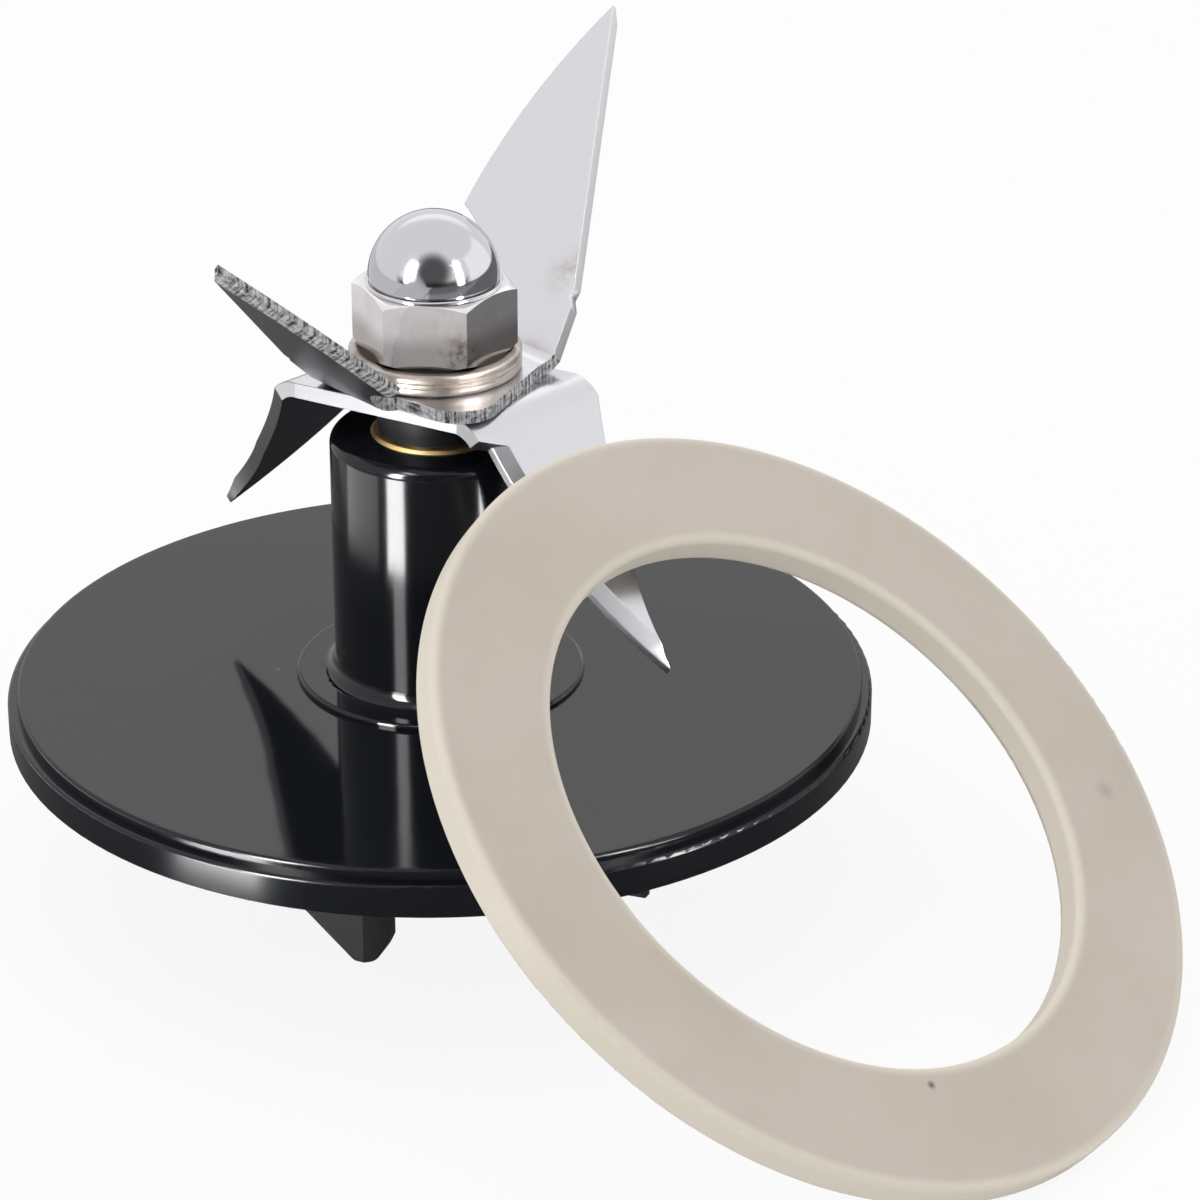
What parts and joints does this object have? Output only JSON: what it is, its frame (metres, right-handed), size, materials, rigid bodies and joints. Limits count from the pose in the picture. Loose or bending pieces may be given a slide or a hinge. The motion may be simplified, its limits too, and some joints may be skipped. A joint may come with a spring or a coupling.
{
  "type": "blender blade assembly",
  "caption": "Blade assembly of a kitchen blender: black base disc with a bearing tower, crossed bent blades on a spindle, an acorn nut and the loose jar gasket.",
  "frame": {"origin": "on the spindle's axis, in the plane of the rim's lower edge", "axes": "+Z along the spindle towards the nut; the picture looks along +Y from slightly above"},
  "size_m": [0.0796, 0.0819, 0.0551],
  "materials": {
    "black_plastic": "glossy black moulding",
    "brass": "turned",
    "seal_rubber": "matt",
    "steel": "turned",
    "dark_collar": "blackened",
    "blade_steel": "satin stainless sheet, ground edges",
    "washer_steel": "tarnished",
    "nut_chrome": "polished",
    "gasket_rubber": "smooth matt beige"
  },
  "bodies": {
    "base": {"base_housing": "black_plastic", "upper_bush": "brass", "lower_bush": "brass", "shaft_seal": "seal_rubber", "jar_gasket": "gasket_rubber"},
    "rotor": {"spindle": "steel", "thrust_washer": "steel", "spacer_collar": "dark_collar", "lower_blade": "blade_steel", "upper_blade": "blade_steel", "blade_washer": "washer_steel", "cap_nut": "nut_chrome"}
  },
  "joints": [
    {"name": "blade_spin", "type": "hinge", "parent": "base", "child": "rotor", "pos_m": [0, 0, 0], "axis": [0, 0, 1], "continuous": true}
  ]
}
